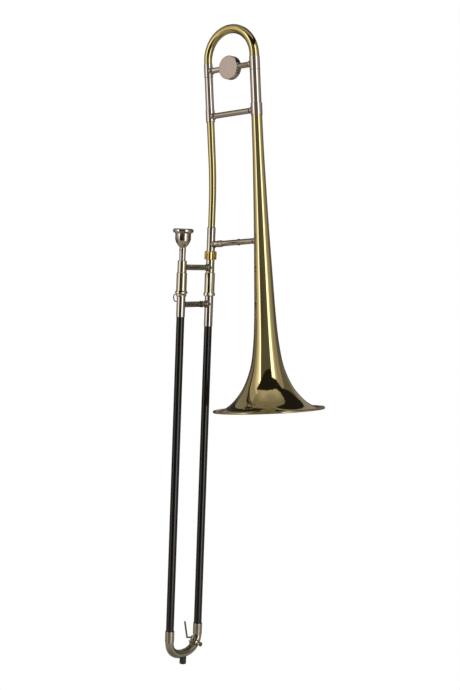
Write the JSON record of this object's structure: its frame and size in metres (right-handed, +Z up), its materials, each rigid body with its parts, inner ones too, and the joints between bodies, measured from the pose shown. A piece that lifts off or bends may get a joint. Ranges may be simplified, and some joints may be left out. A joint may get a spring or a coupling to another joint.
{
  "type": "tenor trombone",
  "caption": "Straight tenor trombone with a flared bell, tuning slide with counterweight, swivelling hand slide with lock, mouthpiece and sprung water key.",
  "frame": {"origin": "point on the bell axis inside the throat where a stand cone carries the instrument", "axes": "+Z up, along the hand slide; the bell stands at -Y of the slide, the mouthpiece side at -X"},
  "size_m": [0.2032, 0.2763, 1.1826],
  "materials": {
    "brass": "lacquered, polished",
    "nickel": "polished nickel silver",
    "silver": "polished silver plate",
    "gold": "polished gold-coloured brass",
    "black": "gloss black",
    "rubber": "matt",
    "cork": "natural cork",
    "steel": "bright steel"
  },
  "bodies": {
    "bell_section": {"bell": "brass", "bell_ferrule": "nickel", "bell_sleeve": "nickel", "gooseneck": "brass", "gooseneck_ferrule": "nickel", "gooseneck_sleeve": "nickel", "neck_receiver": "brass", "upper_brace": "nickel", "upper_brace_foot_bell": "nickel", "upper_brace_foot_neck": "nickel", "lower_brace": "nickel", "lower_brace_foot_bell": "nickel", "lower_brace_ring": "nickel", "lower_brace_socket": "nickel"},
    "tuning_slide": {"tuning_crook": "brass", "tuning_ferrule_neck": "nickel", "tuning_ferrule_bell": "nickel", "tuning_leg_neck": "nickel", "tuning_leg_bell": "nickel", "tuning_brace": "nickel", "counterweight_front": "nickel", "counterweight_rear": "nickel", "counterweight_screw": "steel"},
    "lock_nut": {"lock_nut": "gold"},
    "inner_slide": {"slide_tenon": "brass", "tenon_sleeve": "brass", "mouthpiece_receiver": "brass", "barrel_mouth": "brass", "barrel_bell": "brass", "barrel_cork_mouth": "rubber", "barrel_cork_bell": "rubber", "inner_tube_mouth": "nickel", "inner_tube_bell": "nickel", "stocking_mouth": "nickel", "stocking_bell": "nickel", "inner_brace": "nickel", "inner_brace_foot": "nickel"},
    "mouthpiece": {"mouthpiece": "silver"},
    "slide_lock": {"lock_ring": "brass"},
    "outer_slide": {"outer_tube_mouth": "black", "outer_tube_bell": "black", "top_sleeve_mouth": "nickel", "top_sleeve_bell": "nickel", "outer_brace": "nickel", "outer_brace_foot": "nickel", "outer_brace_ring": "nickel", "lock_hook": "nickel", "end_ferrule_mouth": "nickel", "end_ferrule_bell": "nickel", "end_crook": "nickel", "rubber_bumper": "rubber", "water_nipple": "brass", "key_saddle": "nickel", "key_screw": "steel", "key_spring": "steel"},
    "water_key": {"water_key": "nickel", "key_cork": "cork"}
  },
  "joints": [
    {"name": "slide_swivel", "type": "hinge", "parent": "bell_section", "child": "inner_slide", "pos_m": [0, 0.14214, 0.22564], "axis": [0, 0, 1], "range_deg": [-90, 35]},
    {"name": "tuning_pull", "type": "slide", "parent": "bell_section", "child": "tuning_slide", "axis": [0, 0.0971, 0.9953], "range_m": [0, 0.055]},
    {"name": "lock_nut_turn", "type": "hinge", "parent": "bell_section", "child": "lock_nut", "pos_m": [0, 0.14214, 0.23344], "axis": [0, 0, 1], "continuous": true},
    {"name": "mouthpiece_pull", "type": "slide", "parent": "inner_slide", "child": "mouthpiece", "axis": [0, 0, 1], "range_m": [0, 0.045]},
    {"name": "slide_lock_turn", "type": "hinge", "parent": "inner_slide", "child": "slide_lock", "pos_m": [-0.082, 0.14214, 0.16364], "axis": [0, 0, 1], "range_deg": [-48, 0]},
    {"name": "hand_slide", "type": "slide", "parent": "inner_slide", "child": "outer_slide", "axis": [0, 0, -1], "range_m": [0, 0.585]},
    {"name": "water_key_press", "type": "hinge", "parent": "outer_slide", "child": "water_key", "pos_m": [-0.017, 0.14214, -0.48659], "axis": [-0.6619, 0, -0.7496], "range_deg": [0, 17], "stiffness_Nm_per_rad": 0.02, "springref_deg": -28.65}
  ]
}
